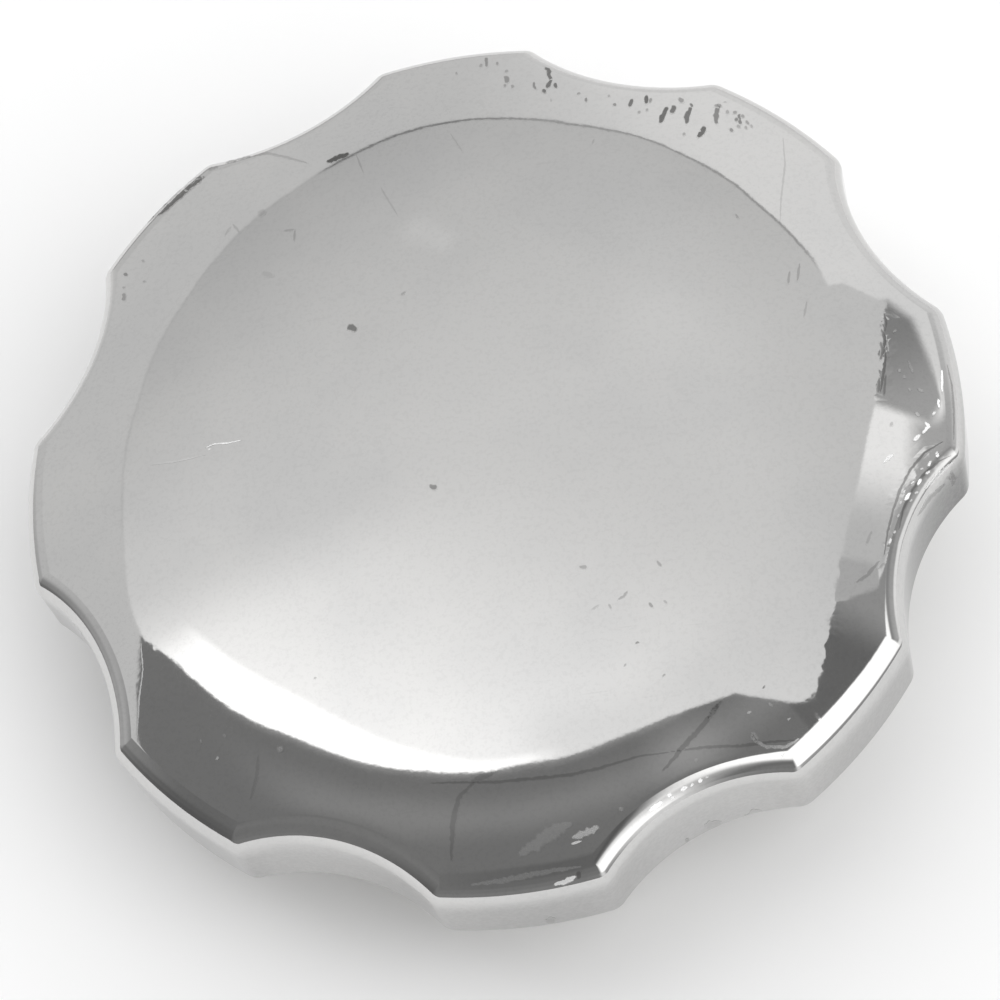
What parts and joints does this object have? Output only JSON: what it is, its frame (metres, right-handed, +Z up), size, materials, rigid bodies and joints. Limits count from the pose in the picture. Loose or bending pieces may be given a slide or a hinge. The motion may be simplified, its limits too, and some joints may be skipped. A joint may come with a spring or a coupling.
{
  "type": "vehicle fuel cap",
  "caption": "Chrome fuel cap with finger scallops, a bayonet closure, a sprung sealing ring and a pressure and vacuum valve inside.",
  "frame": {"origin": "on the cap's axis, in the plane of the flat bottom of the splash baffle", "axes": "+Z up along the cap's axis through the top of the dome, +X and -X through the two bayonet ears"},
  "size_m": [0.084, 0.084, 0.0263],
  "materials": {
    "cover_chrome": "worn chrome plate with fine pits",
    "plated_steel": "dull zinc plate on pressed steel",
    "rivet_steel": "bare steel rivets",
    "spring_steel": "dark spring steel",
    "seal_rubber": "matt black fuel-proof rubber",
    "washer_plastic": "natural nylon",
    "turned_brass": "turned brass",
    "filter_felt": "grey felt"
  },
  "bodies": {
    "cap": {"cover": "cover_chrome", "backing_plate": "plated_steel", "vent_filter": "filter_felt", "closure_can": "plated_steel", "valve_seat": "plated_steel", "spring_seat": "plated_steel", "bayonet_plate": "plated_steel", "splash_baffle": "plated_steel", "bayonet_rivets": "rivet_steel", "preload_spring": "spring_steel", "pressure_spring": "spring_steel"},
    "thrust_ring": {"thrust_washer": "washer_plastic"},
    "seal": {"seal_carrier": "plated_steel", "gasket": "seal_rubber"},
    "pressure_disc": {"pressure_plate": "plated_steel", "pressure_seal": "seal_rubber", "vacuum_spring": "spring_steel"},
    "vacuum_stem": {"vacuum_valve": "turned_brass", "vacuum_seal": "seal_rubber", "stem_clip": "spring_steel"}
  },
  "joints": [
    {"name": "seal_press", "type": "slide", "parent": "cap", "child": "thrust_ring", "axis": [0, 0, 1], "range_m": [0, 0.0015], "stiffness_N_per_m": 8000, "springref_m": -0.002, "deforming": ["preload_spring"]},
    {"name": "seal_turn", "type": "hinge", "parent": "thrust_ring", "child": "seal", "pos_m": [0, 0, 0.0165], "axis": [0, 0, 1], "continuous": true},
    {"name": "pressure_lift", "type": "slide", "parent": "cap", "child": "pressure_disc", "axis": [0, 0, 1], "range_m": [0, 0.002], "stiffness_N_per_m": 600, "springref_m": -0.0045, "deforming": ["pressure_spring"]},
    {"name": "vacuum_drop", "type": "slide", "parent": "pressure_disc", "child": "vacuum_stem", "axis": [0, 0, -1], "range_m": [0, 0.0014], "stiffness_N_per_m": 120, "springref_m": -0.0028, "deforming": ["vacuum_spring"]}
  ]
}
